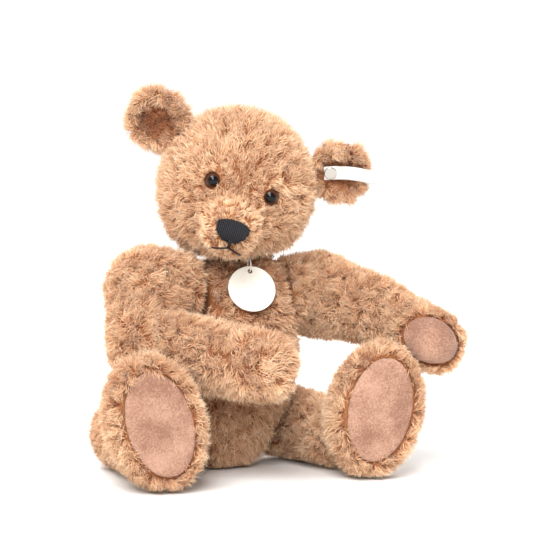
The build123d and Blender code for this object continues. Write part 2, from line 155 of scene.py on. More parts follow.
sun = bpy.data.lights.new("key_light", "SUN")
sun.energy = 3.2
sun.angle = math.radians(35)
key = bpy.data.objects.new("key_light", sun)
key.rotation_euler = Vector((0.62, 0.75, -1.0)).to_track_quat("-Z", "Y").to_euler()
bpy.context.collection.objects.link(key)

target = Vector((0.0407, -0.0099, 0.1137))
for name, spot, size, power in (
    ("front_softbox", (-0.6, -1.2, 0.6), 0.3, 7.0),
    ("back_softbox", (0.35, 0.9, 0.9), 0.8, 8.0),
):
    lamp = bpy.data.lights.new(name, "AREA")
    lamp.size = size
    lamp.energy = power
    lamp_object = bpy.data.objects.new(name, lamp)
    lamp_object.location = spot
    lamp_object.rotation_euler = (target - Vector(spot)).to_track_quat("-Z", "Y").to_euler()
    bpy.context.collection.objects.link(lamp_object)

distance = 1.5
view_width = 347.2 * mm  # how much of the scene the camera takes in at the bear
back = Vector(
    (
        math.sin(azimuth) * math.cos(elevation),
        -math.cos(azimuth) * math.cos(elevation),
        math.sin(elevation),
    )
)
lens = bpy.data.cameras.new("studio_camera")
lens.sensor_width = 36.0
lens.lens = lens.sensor_width * distance / view_width
lens.clip_start = 0.05
camera = bpy.data.objects.new("studio_camera", lens)
camera.location = target + back * distance
camera.rotation_euler = (-back).to_track_quat("-Z", "Y").to_euler()
bpy.context.collection.objects.link(camera)
bpy.context.scene.camera = camera
bpy.context.scene.view_settings.view_transform = "Standard"

# ---- Mohair pelt ---------------------------------------------------------
# Every plush piece is a woven cotton backing with curly mohair standing in
# it: tufts of wavy fibres that clump, lie over and catch light at their tips.

rng = np.random.default_rng(1907)
fibre_width = 0.36 * mm    # a lock of finer hairs drawn as one
pile_length = 8.0 * mm
pile_depth = 2.2 * mm      # backing lies this far under the CAD surface
tuft_pitch = 3.8 * mm
tuft_lean = (22, 64)       # degrees from upright
tuft_stray = (0.3, 1.5)    # how far a tuft lies off the brushed direction
gather_share = (0.1, 0.6)  # how far a fibre is drawn to the tip of its tuft
curl_size = (0.6, 1.5)     # mm at full length
curl_turn = 6.5            # radians from root to tip
patch_size = 34 * mm       # patches of deeper and paler pile
free_reach = 20 * mm       # a piece farther away than this doesn't matter
body_gap = 1.2 * mm        # no fibre grows nearer than this to another body's cloth,
bare_gap = 0.9 * mm        # a bare piece,
clip_gap = 0.35 * mm       # a short one
table_gap = 0.7 * mm       # or the table
stub_length = 2.6 * mm     # a crowded fibre isn't cut below this
clip_rise = 0.3 * mm       # a clipped fibre may outreach its gap by this
weld_gap = 0.002 * mm      # corners nearer than this are one
backing_rise = 0.35 * mm   # backing stays this far above the table


def keep_largest(shape):
    """Drops every loose shell but the one with the widest reach."""
    shape.verts.ensure_lookup_table()
    seen, shells = set(), []
    for start in shape.verts:
        if start.index in seen:
            continue
        seen.add(start.index)
        shell, edge = [start], [start]
        while edge:
            vert = edge.pop()
            for link in vert.link_edges:
                other = link.other_vert(vert)
                if other.index not in seen:
                    seen.add(other.index)
                    shell.append(other)
                    edge.append(other)
        shells.append(shell)

    def reach(shell):
        places = np.array([v.co for v in shell])
        return float(np.prod(np.ptp(places, axis=0) + 1e-6))

    shells.sort(key=reach)
    for shell in shells[:-1]:
        bmesh.ops.delete(shape, geom=shell, context="VERTS")


def merged_copy(names, voxel, smooth_steps, inset, sunk=()):
    """One closed soft shape from CAD solids: joined, remeshed, smoothed, drawn in.

    The solids are joined again at each sunk offset, which deepens a thin one.
    """
    joined = bmesh.new()
    for name in names:
        joined.from_mesh(nodes[name].data)
        for offset in sunk:
            known = set(joined.verts)
            joined.from_mesh(nodes[name].data)
            added = [v for v in joined.verts if v not in known]
            bmesh.ops.translate(joined, verts=added, vec=offset)
    bmesh.ops.remove_doubles(joined, verts=joined.verts, dist=weld_gap)
    mesh = bpy.data.meshes.new(names[0] + "_shape")
    joined.to_mesh(mesh)
    joined.free()
    body = bpy.data.objects.new(mesh.name, mesh)
    bpy.context.collection.objects.link(body)
    remesh = body.modifiers.new("even_faces", "REMESH")
    remesh.mode = "VOXEL"
    remesh.voxel_size = voxel
    graph = bpy.context.evaluated_depsgraph_get()
    even = bpy.data.meshes.new_from_object(body.evaluated_get(graph))
    bpy.data.objects.remove(body)
    shape = bmesh.new()
    shape.from_mesh(even)
    bpy.data.meshes.remove(even)
    keep_largest(shape)
    for _ in range(smooth_steps):
        bmesh.ops.smooth_vert(
            shape,
            verts=shape.verts,
            factor=0.5,
            use_axis_x=True,
            use_axis_y=True,
            use_axis_z=True,
        )
    bmesh.ops.recalc_face_normals(shape, faces=shape.faces)
    shape.normal_update()
    for vert in shape.verts:
        vert.co -= vert.normal * inset
        vert.co.z = max(vert.co.z, backing_rise)
    return shape


def settle(shape, name, material, body):
    """Turns a bmesh into a finished, smooth-shaded piece on a body."""
    mesh = bpy.data.meshes.new(name)
    shape.to_mesh(mesh)
    shape.free()
    mesh.polygons.foreach_set("use_smooth", np.ones(len(mesh.polygons), bool))
    mesh.materials.append(material)
    piece = bpy.data.objects.new(name, mesh)
    bpy.context.collection.objects.link(piece)
    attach(piece, body)
    return piece


# Woven cotton backing, dyed the red-brown that shows between the tufts.
backing, tree = new_material("dyed_cotton_backing")
place = add_node(tree, "ShaderNodeTexCoord")
weave = add_node(
    tree,
    "ShaderNodeTexNoise",
    values={"Scale": 900.0, "Detail": 3.0},
    links={"Vector": place.outputs["Object"]},
)
tone = add_node(
    tree,
    "ShaderNodeMix",
    settings={"data_type": "RGBA"},
    links={"Factor": weave.outputs["Fac"]},
)
tone.inputs[6].default_value = linear("#7A4428")
tone.inputs[7].default_value = linear("#B27A50")
ridge = add_node(
    tree,
    "ShaderNodeBump",
    values={"Strength": 0.4, "Distance": 0.0004},
    links={"Height": weave.outputs["Fac"]},
)
finish_material(
    tree,
    add_node(
        tree,
        "ShaderNodeBsdfPrincipled",
        values={"Roughness": 0.95, "Specular IOR Level": 0.1},
        links={"Base Color": tone.outputs[2], "Normal": ridge.outputs[0]},
    ),
)

# Mohair fibre: u carries the tuft's own shade and any painted shade added to it, v runs from
# root to tip.
mohair, tree = new_material("curly_mohair_fibre")
along = add_node(tree, "ShaderNodeUVMap", settings={"uv_map": "OFBake"})
parts = add_node(tree, "ShaderNodeSeparateXYZ", links={"Vector": along.outputs["UV"]})
shades = []
# Deep and pale palettes, root to tip: the dark roots are painted shade down in the pile and the
# pale tips painted light. The deep palette is also where painted shade draws the pile.
for stops in (
    ("#74391F", "#B06A40", "#D69C6E"),
    ("#B8744A", "#F4C79A", "#FFF0D4"),
):
    ramp = add_node(tree, "ShaderNodeValToRGB", links={"Fac": parts.outputs["Y"]})
    ramp.color_ramp.elements[0].color = linear(stops[0])
    ramp.color_ramp.elements[1].color = linear(stops[2])
    ramp.color_ramp.elements.new(0.5).color = linear(stops[1])
    shades.append(ramp)
tone = add_node(
    tree,
    "ShaderNodeMix",
    settings={"data_type": "RGBA"},
    links={"Factor": parts.outputs["X"]},
)
tree.links.new(shades[0].outputs["Color"], tone.inputs[6])
tree.links.new(shades[1].outputs["Color"], tone.inputs[7])
finish_material(
    tree,
    add_node(
        tree,
        "ShaderNodeBsdfPrincipled",
        values={
            "Roughness": 0.55,
            "Specular IOR Level": 0.35,
            "Sheen Weight": 0.25,
            "Sheen Roughness": 0.4,
        },
        links={"Base Color": tone.outputs[2]},
    ),
)


def tree_of(names):
    """Search tree over the surfaces of CAD nodes."""
    joined = bmesh.new()
    for name in names:
        joined.from_mesh(nodes[name].data)
    found = BVHTree.FromBMesh(joined)
    joined.free()
    return found


def gaps_to(search, points, reach):
    """Distance from each point to the nearest surface in a search tree."""
    gaps = np.full(len(points), reach)
    for index, point in enumerate(points):
        hit = search.find_nearest(Vector(point), reach)
        if hit[3] is not None:
            gaps[index] = hit[3]
    return gaps


def unit(vectors):
    """Vectors scaled to length one."""
    return vectors / np.maximum(np.linalg.norm(vectors, axis=-1, keepdims=True), 1e-12)


def soft_noise(points, wave, seed):
    """Smooth values near 0 to 1 that vary over about one wave length."""
    local = np.random.default_rng(seed)
    total = np.zeros(len(points))
    for _ in range(6):
        direction = unit(local.normal(size=3)) * (2 * math.pi / wave) * local.uniform(0.6, 1.5)
        total += np.sin(points @ direction + local.uniform(0, 2 * math.pi))
    return 0.5 + total / 8


def pile(
    backing_piece,
    name,
    count,
    flow,
    length,
    others,
    bare=(),
    short=(),
    depth=pile_depth,
    tone=None,
):
    """Mohair standing on a backing piece, as one mesh of tapering wavy fibres.

    count is how many are tried. flow gives the lie of the pile at points, length
    its length there and tone what to add to its shade. Fibres stop short of the
    other bodies. None grow close beside a bare piece, and near a short one they
    are clipped to about the gap to it. depth is how far the cloth was drawn in.
    """
    data = backing_piece.data
    data.calc_loop_triangles()
    corners = np.zeros(len(data.loop_triangles) * 3, np.int32)
    data.loop_triangles.foreach_get("vertices", corners)
    corners = corners.reshape(-1, 3)
    places = np.zeros(len(data.vertices) * 3, np.float32)
    data.vertices.foreach_get("co", places)
    places = places.reshape(-1, 3).astype(float)
    normals = np.array([v.normal for v in data.vertices])
    a, b, c = (places[corners[:, k]] for k in range(3))
    areas = np.linalg.norm(np.cross(b - a, c - a), axis=1) / 2
    chosen = rng.choice(len(corners), size=count, p=areas / areas.sum())
    u, v = rng.random(count), rng.random(count)
    flip = u + v > 1
    u[flip], v[flip] = 1 - u[flip], 1 - v[flip]
    weights = np.stack([1 - u - v, u, v], 1)
    roots = (places[corners[chosen]] * weights[:, :, None]).sum(1)
    upright = unit((normals[corners[chosen]] * weights[:, :, None]).sum(1))

    crowd, under, clear = (
        gaps_to(tree_of(names), roots, free_reach) if names else np.full(count, free_reach)
        for names in (others, bare, short)
    )
    stays = (crowd > depth + body_gap) & (under > bare_gap)
    stays &= (clear > depth + clip_gap) & (roots[:, 2] > table_gap)
    roots, upright, crowd, clear = roots[stays], upright[stays], crowd[stays], clear[stays]
    count = len(roots)
    long = length(roots) * rng.uniform(0.75, 1.2, count)
    long = np.minimum(long, np.maximum(crowd * 0.95, stub_length))
    long = np.minimum(long, depth + clip_rise + (clear - depth).clip(0))

    tufts = max(1, int(areas.sum() / tuft_pitch**2))
    seeds = rng.choice(count, size=min(tufts, count), replace=False)
    finder = kdtree.KDTree(len(seeds))
    for index, seed in enumerate(seeds):
        finder.insert(Vector(roots[seed]), index)
    finder.balance()
    tuft = np.array([finder.find(Vector(root))[1] for root in roots])

    lie = flow(roots[seeds])
    lie = lie - upright[seeds] * (lie * upright[seeds]).sum(1, keepdims=True)
    stray = rng.normal(size=(len(seeds), 3))
    stray -= upright[seeds] * (stray * upright[seeds]).sum(1, keepdims=True)
    lie = unit(unit(lie) * 0.8 + unit(stray) * rng.uniform(*tuft_stray, (len(seeds), 1)))
    lean = np.radians(rng.uniform(*tuft_lean, (len(seeds), 1)))
    heading = upright[seeds] * np.cos(lean) + lie * np.sin(lean)
    phase = rng.uniform(0, 2 * math.pi, len(seeds))
    shade = rng.uniform(0, 1, len(seeds))

    own = unit(heading[tuft] + rng.normal(scale=0.5, size=(count, 3)))
    own = unit(own + upright * (0.25 - (own * upright).sum(1, keepdims=True)).clip(0))
    gather = rng.uniform(*gather_share, (count, 1))
    tips = roots[seeds][tuft] + heading[tuft] * long[:, None]
    side = unit(np.cross(upright, own))
    lift = unit(np.cross(own, side))
    curl = rng.uniform(*curl_size, (count, 1)) * mm * (long[:, None] / pile_length)
    turn = phase[tuft] + rng.normal(scale=0.5, size=count)
    twist = unit(np.cross(own, rng.normal(size=(count, 3))))
    line = []
    for step in (0.0, 0.5, 1.0):
        rise = unit(upright * (1 - step) * 0.6 + own)
        point = roots + rise * (long * step)[:, None]
        point += (tips - point) * gather * step**1.4
        swing = turn + step * curl_turn
        point += (side * np.sin(swing)[:, None] + lift * np.cos(swing)[:, None]) * curl * step
        point[:, 2] = np.maximum(point[:, 2], (0.4 + 1.2 * step) * mm)
        line.append(point)
    # Each fibre is five corners: a quad from the root, then a triangle to the tip.
    rows = []
    for point in line[:2]:
        rows += [point - twist * fibre_width / 2, point + twist * fibre_width / 2]
    rows.append(line[2])
    cloud = np.stack(rows, 1).reshape(-1, 3)
    pattern = np.array([0, 1, 3, 2, 2, 3, 4])
    sizes = np.tile([4, 3], count)
    loops = (np.arange(count)[:, None] * len(rows) + pattern[None, :]).reshape(-1)

    mesh = bpy.data.meshes.new(name)
    mesh.vertices.add(len(cloud))
    mesh.vertices.foreach_set("co", cloud.astype(np.float32).ravel())
    mesh.loops.add(len(loops))
    mesh.loops.foreach_set("vertex_index", loops.astype(np.int32))
    mesh.polygons.add(len(sizes))
    starts = np.concatenate([[0], np.cumsum(sizes)[:-1]])
    mesh.polygons.foreach_set("loop_start", starts.astype(np.int32))
    mesh.polygons.foreach_set("use_smooth", np.ones(len(sizes), bool))
    mesh.update(calc_edges=True)
    # A fibre's shade is its tuft's, its own and its patch's together.
    patch = soft_noise(roots, patch_size, 5)
    shade = 0.24 + 0.34 * shade[tuft] + 0.24 * rng.random(count) + 0.4 * patch
    # A piece's tone goes on top: painted shade on the torso and in the ear hollows, paler pile
    # round the muzzle.
    if tone is not None:
        shade = shade + tone(roots, upright)
    heights = np.array([0.02, 0.02, 0.5, 0.5, 0.98])[pattern]
    shades = np.repeat(shade.clip(0.01, 0.99), len(pattern))
    uv = np.stack([shades, np.tile(heights, count)], 1)
    layer = mesh.uv_layers.new(name="OFBake")
    layer.uv.foreach_set("vector", uv.astype(np.float32).ravel())
    mesh.materials.append(mohair)
    piece = bpy.data.objects.new(name, mesh)
    bpy.context.collection.objects.link(piece)
    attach(piece, backing_piece["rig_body"])
    return piece


def outer(body, *also):
    """Covers of every other body, which this one's pile stays out of."""
    covers = [
        name
        for name, node in nodes.items()
        if node["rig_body"] != body
        and name.endswith(("_skin", "foot_pad_right", "foot_pad_left"))
    ]
    return [*covers, *also]


def plush(name, body, covers, depth=pile_depth, voxel=2.5 * mm):
    """Stuffed backing of one piece, standing for its cloth and filling in the CAD."""
    shape = merged_copy(covers, voxel, smooth_steps=4, inset=depth)
    piece = settle(shape, name, backing, body)
    return piece


def centre(name):
    """Middle of a CAD node."""
    low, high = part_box(name)
    return (np.array(low) + np.array(high)) / 2


def even_length(points):
    """Full pile everywhere."""
    return np.full(len(points), pile_length)


# ---- Torso ---------------------------------------------------------------
# A pear-shaped plush bag, firmly stuffed, closed by a hand-sewn seam down
# the back.  The pile is brushed downward and lies flat under the limbs.

torso = plush("torso_plush", "torso", ["torso_skin", "torso_stuffing"])
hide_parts("torso_skin", "torso_stuffing")


def downward(points):
    """Pile brushed down and a little outward."""
    return np.tile([0.0, -0.15, -1.0], (len(points), 1))


def torso_painted_shade(points, upright):
    """Painted shade: the whole torso's pile is drawn a step darker than the limbs', for the
    shade it sits in between them.
    """
    return np.full(len(points), -0.14)


pile(
    torso,
    "torso_pile",
    count=64000,
    flow=downward,
    length=even_length,
    others=outer("torso"),
    short=["chest_tag", "tag_loop"],
    # painted shade darkens the torso's pile
    tone=torso_painted_shade,
)

# Waxed linen thread of the closing seam, pulled down into the pile.
seam_linen, tree = new_material("waxed_linen_thread")
place = add_node(tree, "ShaderNodeTexCoord")
ply = add_node(
    tree,
    "ShaderNodeTexWave",
    settings={"bands_direction": "DIAGONAL"},
    values={"Scale": 700.0, "Distortion": 1.0},
    links={"Vector": place.outputs["Object"]},
)
tone = add_node(
    tree,
    "ShaderNodeMix",
    settings={"data_type": "RGBA"},
    links={"Factor": ply.outputs["Fac"]},
)
tone.inputs[6].default_value = linear("#9A6238")
tone.inputs[7].default_value = linear("#C08B58")
ridge = add_node(
    tree,
    "ShaderNodeBump",
    values={"Strength": 0.5, "Distance": 0.0002},
    links={"Height": ply.outputs["Fac"]},
)
finish_material(
    tree,
    add_node(
        tree,
        "ShaderNodeBsdfPrincipled",
        values={"Roughness": 0.6},
        links={"Base Color": tone.outputs[2], "Normal": ridge.outputs[0]},
    ),
)


def dress(name, material):
    """Gives a CAD node its proper material."""
    for slot in nodes[name].material_slots:
        slot.material = material
    if not nodes[name].material_slots:
        nodes[name].data.materials.append(material)


dress("back_seam_stitching", seam_linen)

# ---- Joint hardware ------------------------------------------------------
# Five disc joints: pressed hardboard discs with zinc-plated washers, clamped
# by a split pin through both, shut away inside the stuffing.

# Fibreboard pressed from wood pulp: matt brown with a fine mottle.
hardboard, tree = new_material("pressed_hardboard")
place = add_node(tree, "ShaderNodeTexCoord")
fibres = add_node(
    tree,
    "ShaderNodeTexNoise",
    values={"Scale": 1400.0, "Detail": 4.0},
    links={"Vector": place.outputs["Object"]},
)
tone = add_node(
    tree,
    "ShaderNodeMix",
    settings={"data_type": "RGBA"},
    links={"Factor": fibres.outputs["Fac"]},
)
tone.inputs[6].default_value = linear("#5A3D25")
tone.inputs[7].default_value = linear("#8C6843")
finish_material(
    tree,
    add_node(
        tree,
        "ShaderNodeBsdfPrincipled",
        values={"Roughness": 0.75},
        links={"Base Color": tone.outputs[2]},
    ),
)


def plated(name, colour, roughness):
    """Plated metal with the faint uneven gloss of a dipped or barrel finish."""
    material, tree = new_material(name)
    place = add_node(tree, "ShaderNodeTexCoord")
    bloom = add_node(
        tree,
        "ShaderNodeTexNoise",
        values={"Scale": 500.0, "Detail": 3.0},
        links={"Vector": place.outputs["Object"]},
    )
    gloss = add_node(
        tree,
        "ShaderNodeMapRange",
        values={"To Min": roughness, "To Max": roughness + 0.14},
        links={"Value": bloom.outputs["Fac"]},
    )
    finish_material(
        tree,
        add_node(
            tree,
            "ShaderNodeBsdfPrincipled",
            values={"Base Color": linear(colour), "Metallic": 1.0},
            links={"Roughness": gloss.outputs[0]},
        ),
    )
    return material


zinc = plated("zinc_plated_steel", "#B9BCC0", 0.32)
for joint in ("neck", "shoulder_right", "shoulder_left", "hip_right", "hip_left"):
    limb = {"neck": "head", "shou": "arm", "hip_": "leg"}[joint[:4]]
    for end in ("torso", limb):
        dress(f"{joint}_{end}_disc", hardboard)
        dress(f"{joint}_{end}_washer", zinc)
    dress(f"{joint}_pin", zinc)
dress("eye_washers", zinc)

# ---- Head ----------------------------------------------------------------
# A round head with a short muzzle, in shorter pile towards the nose, where
# the fibres are brushed back from the nose tip over the brow and cheeks.

nod, tilt, yaw = math.radians(10), math.radians(16.5), math.radians(-21)
head_turn = (
    Matrix.Rotation(yaw, 3, "Z") @ Matrix.Rotation(tilt, 3, "Y") @ Matrix.Rotation(nod, 3, "X")
)
head_side = head_turn @ Vector((1, 0, 0))
head_front = head_turn @ Vector((0, -0.995, 0.1))
head_up = head_front.cross(head_side).normalized()
muzzle_pile, crown_pile, jowl_pile = 3.8 * mm, 7.4 * mm, 11.0 * mm
muzzle_reach = 27 * mm   # muzzle pile ends this far from the nose,
muzzle_blend = 26 * mm   # and is full this much farther on
jowl_drop = 40 * mm      # jowl pile is full this far below the head's middle
eye_clear = 5 * mm       # this near the middle of an eye the pile is held
eye_pile = 2.6 * mm      # to this length
socket_reach = 10 * mm   # cloth rises towards an eye from this far off
pale_reach = 42 * mm     # the paler pile round the muzzle ends this far from the nose
brow_rise = 12           # mm from between the joint and the eyes to the head's middle
nose_tip = centre("nose_embroidery")
head_middle = (centre("eye_washers") + centre("neck_head_disc")) / 2
head_middle = head_middle + np.array(head_up) * brow_rise * mm

head = plush("head_plush", "head", ["head_skin", "head_stuffing"])
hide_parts("head_skin", "head_stuffing")
# The cloth is drawn up to the back of each glass eye by its shank.
for side in ("right", "left"):
    socket = Vector(centre(f"eye_{side}"))
    for vert in head.data.vertices:
        near = 1 - (vert.co - socket).length / socket_reach
        if near > 0:
            vert.co += vert.normal * pile_depth * min(1.0, 2.2 * near)


def from_nose(points):
    """Pile lies away from the tip of the nose."""
    return points - nose_tip


def face_length(points):
    """Short at the muzzle and round the eyes, fuller at the crown, fullest at the jowls."""
    away = np.linalg.norm(points - nose_tip, axis=1)
    low = ((head_middle - points) @ np.array(head_up) / jowl_drop).clip(0, 1)
    full = crown_pile + (jowl_pile - crown_pile) * low
    full = muzzle_pile + (full - muzzle_pile) * ((away - muzzle_reach) / muzzle_blend).clip(0, 1)
    for eye in ("eye_right", "eye_left"):
        beside = np.linalg.norm(points - centre(eye), axis=1) - eye_clear
        full = np.minimum(full, eye_pile + 0.8 * beside.clip(0))
    return full


def muzzle_tone(points, upright):
    """Fibres round the muzzle are a little paler."""
    away = np.linalg.norm(points - nose_tip, axis=1)
    return 0.3 * (1 - away / pale_reach).clip(0, 1)


pile(
    head,
    "head_pile",
    count=66000,
    flow=from_nose,
    length=face_length,
    others=outer("head", "ear_right", "ear_left"),
    bare=["eye_right", "eye_left"],
    short=["nose_embroidery", "mouth_embroidery"],
    tone=muzzle_tone,
)

# ---- Ears ----------------------------------------------------------------
# Two layers of plush sewn edge to edge, cupped and stitched to the head.

ear_pile, rim_pile = 3.4 * mm, 8.0 * mm
ear_depth = 1.3 * mm
ear_reach, painted_shade_reach = 16 * mm, 15 * mm  # from the middle to the rim, and in the cup
ear_root = 14        # mm from an ear's middle to where its pile fans out from
skull_rise = 38      # mm from the neck disc to the middle of the skull
# Painted shade: how far the pile in each ear's cup is darkened.
painted_hollow_shade = -0.85
skull = np.array(nodes["neck_head_disc"].data.vertices[0].co)
skull = skull + np.array(head_up) * skull_rise * mm

for side in ("right", "left"):
    node = f"ear_{side}"
    ear = plush(f"ear_{side}_plush", "head", [node], depth=ear_depth, voxel=1.5 * mm)
    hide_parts(node)
    ear_middle = centre(node)

    def spread(points, middle=ear_middle):
        """Pile fans out from the root of the ear."""
        return points - middle + unit(middle - skull) * ear_root * mm

    def ear_length(points, middle=ear_middle):
        """Short in the hollow, long round the rim."""
        rim = (np.linalg.norm(points - middle, axis=1) / ear_reach).clip(0, 1) ** 3
        return ear_pile + (rim_pile - ear_pile) * rim

    def hollow_painted_shade(points, upright, middle=ear_middle):
        """Painted shade: the cupped front is darkened towards the middle of the hollow."""
        front = np.array(head_front)
        inside = 1 - (np.linalg.norm(points - middle, axis=1) / painted_shade_reach).clip(0, 1) ** 4
        return painted_hollow_shade * ((upright @ front) > 0.4) * inside

    pile(
        ear,
        f"ear_{side}_pile",
        count=16000,
        flow=spread,
        length=ear_length,
        others=outer("head"),
        short=["ear_button", "ear_flag"],
        depth=ear_depth,
        # painted shade in the ear's hollow
        tone=hollow_painted_shade,
    )

# ---- Eyes ----------------------------------------------------------------
# Pressed glass on a wire shank: a black pupil in a dark brown iris under a
# clear polished dome, locked behind the cloth by a washer.

# The rings are drawn by distance from the front of the nearer eye.
poles = []
for side in ("right", "left"):
    found = [v.co for v in nodes[f"eye_{side}"].data.vertices]
    poles.append(max(found, key=lambda co: co.dot(head_front)))
iris_reach = 6.0 * mm
glass, tree = new_material("pressed_glass_eye")
place = add_node(tree, "ShaderNodeTexCoord")
reaches = [
    add_node(
        tree,
        "ShaderNodeVectorMath",
        settings={"operation": "DISTANCE"},
        links={"Vector": place.outputs["Object"]},
    )
    for _ in poles
]
for reach, pole in zip(reaches, poles):
    reach.inputs[1].default_value = pole
nearer = add_node(
    tree,
    "ShaderNodeMath",
    settings={"operation": "MINIMUM"},
)
tree.links.new(reaches[0].outputs["Value"], nearer.inputs[0])
tree.links.new(reaches[1].outputs["Value"], nearer.inputs[1])
spread_out = add_node(
    tree,
    "ShaderNodeMapRange",
    values={"From Max": iris_reach},
    links={"Value": nearer.outputs[0]},
)
iris = add_node(tree, "ShaderNodeValToRGB", links={"Fac": spread_out.outputs[0]})
iris.color_ramp.elements[0].color = linear("#050404")
iris.color_ramp.elements[1].color = linear("#0A0604")
for stop, colour in ((0.5, "#060404"), (0.58, "#3E1F10"), (0.76, "#4E2814"), (0.9, "#120905")):
    iris.color_ramp.elements.new(stop).color = linear(colour)
finish_material(
    tree,
    add_node(
        tree,
        "ShaderNodeBsdfPrincipled",
        values={"Roughness": 0.05, "IOR": 1.5, "Specular IOR Level": 0.28},
        links={"Base Color": iris.outputs["Color"]},
    ),
)
dress("eye_right", glass)
dress("eye_left", glass)

# ---- Nose and mouth ------------------------------------------------------
# Satin stitch in black perle cotton: threads laid side by side down the
# nose, then one stitch to the lip and one along each side of the mouth.

perle, tree = new_material("black_perle_cotton")
place = add_node(tree, "ShaderNodeTexCoord")
ply = add_node(
    tree,
    "ShaderNodeTexWave",
    settings={"bands_direction": "DIAGONAL"},
    values={"Scale": 500.0, "Distortion": 1.5},
    links={"Vector": place.outputs["Object"]},
)
tone = add_node(
    tree,
    "ShaderNodeMix",
    settings={"data_type": "RGBA"},
    links={"Factor": ply.outputs["Fac"]},
)
# Dark ply with lighter crests: partly the thread's twist, partly painted sheen on the raised
# strands.
tone.inputs[6].default_value = linear("#040405")
tone.inputs[7].default_value = linear("#201F27")
ridge = add_node(
    tree,
    "ShaderNodeBump",
    values={"Strength": 0.6, "Distance": 0.00025},
    links={"Height": ply.outputs["Fac"]},
)
finish_material(
    tree,
    add_node(
        tree,
        "ShaderNodeBsdfPrincipled",
        values={"Roughness": 0.42, "Specular IOR Level": 0.4},
        links={"Base Color": tone.outputs[2], "Normal": ridge.outputs[0]},
    ),
)


def sewn(name, lines, radius, material, body):
    """Laid threads as one mesh, each a round strand along its line."""
    curve = bpy.data.curves.new(name, "CURVE")
    curve.dimensions = "3D"
    curve.bevel_depth = radius
    curve.bevel_resolution = 2
    curve.use_fill_caps = True
    for line in lines:
        spline = curve.splines.new("NURBS")
        spline.points.add(len(line) - 1)
        for point, spot in zip(spline.points, line):
            point.co = (*spot, 1.0)
        spline.order_u = 3
        spline.use_endpoint_u = True
        spline.resolution_u = 3
    holder = bpy.data.objects.new(name, curve)
    bpy.context.collection.objects.link(holder)
    graph = bpy.context.evaluated_depsgraph_get()
    mesh = bpy.data.meshes.new_from_object(holder.evaluated_get(graph))
    bpy.data.objects.remove(holder)
    shape = bmesh.new()
    shape.from_mesh(mesh)
    bmesh.ops.remove_doubles(shape, verts=shape.verts, dist=0.001 * mm)
    bmesh.ops.recalc_face_normals(shape, faces=shape.faces)
    return settle(shape, name, material, body)


stitch_step, stitch_radius, lip_radius = 1.1 * mm, 0.56 * mm, 0.55 * mm
row_step = 0.4                      # mm between trial points down a column
thread_lift, thread_sink = 0.15, 2.4  # mm above the CAD nose, and into the muzzle at the ends
lip_lift, lip_sink = 0.35, 1.6        # the same for the mouth
nose_surface = tree_of(["nose_embroidery"])
nose_middle = Vector(nose_tip)


def on_surface(search, across, rise):
    """Point of a surface seen from in front of the nose, or None."""
    start = nose_middle + head_side * across + head_up * rise + head_front * 30 * mm
    return search.ray_cast(start, -head_front, 60 * mm)[0]


laid = []
for column in range(-10, 11):
    rises = [row * row_step * mm for row in range(-26, 27)]
    hits = [on_surface(nose_surface, column * stitch_step, rise) for rise in rises]
    hits = [hit for hit in hits if hit is not None]
    if len(hits) < 4:
        continue
    picked = [hits[round(k * (len(hits) - 1) / 6)] for k in range(7)]
    line = [point + head_front * thread_lift * mm for point in picked]
    sink = head_front * thread_sink * mm
    laid.append([line[0] - sink, *line, line[-1] - sink])
# Stitches laid first, under the satin stitch, fill the nose out to the muzzle.
padding = settle(
    merged_copy(
        ["nose_embroidery"],
        voxel=0.7 * mm,
        smooth_steps=2,
        inset=0.1 * mm,
        sunk=[-head_front * step * mm for step in (0.9, 1.8, 2.7)],
    ),
    "nose_padding_stitches",
    perle,
    "head",
)
nose = sewn("nose_satin_stitch", laid, stitch_radius, perle, "head")
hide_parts("nose_embroidery")

lip_surface = tree_of(["mouth_embroidery", "nose_embroidery", "head_skin"])


def lip_line(start, end):
    """Thread laid over the muzzle between two points, ends sunk in the cloth."""
    line = []
    for k in range(7):
        across = start[0] + (end[0] - start[0]) * k / 6
        rise = start[1] + (end[1] - start[1]) * k / 6
        spot = on_surface(lip_surface, across * mm, rise * mm)
        line.append(spot + head_front * lip_lift * mm)
    line[0] -= head_front * lip_sink * mm
    line[-1] -= head_front * lip_sink * mm
    return line


low = min(point.dot(head_up) for line in laid for point in line)
# Two threads run down from the nose, and one from there to each corner, in mm.
lip = (low - nose_middle.dot(head_up)) / mm
mouth = sewn(
    "mouth_stitches",
    [
        lip_line((0.45, lip + 2.0), (0.45, lip - 4.4)),
        lip_line((-0.45, lip + 2.0), (-0.45, lip - 4.4)),
        lip_line((0.6, lip - 3.4), (-9.0, lip - 7.0)),
        lip_line((-0.6, lip - 3.4), (9.0, lip - 7.0)),
    ],
    lip_radius,
    perle,
    "head",
)
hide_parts("mouth_embroidery")

# ---- Ear button and flag -------------------------------------------------
# A domed nickel button riveted through the left ear, holding down one end of
# a gently waved strip of white satin ribbon, left blank.

nickel = plated("polished_nickel", "#C9C5BC", 0.16)
dress("ear_button", nickel)
dress("ear_button_washer", nickel)

satin, tree = new_material("white_satin_ribbon")
place = add_node(tree, "ShaderNodeTexCoord")
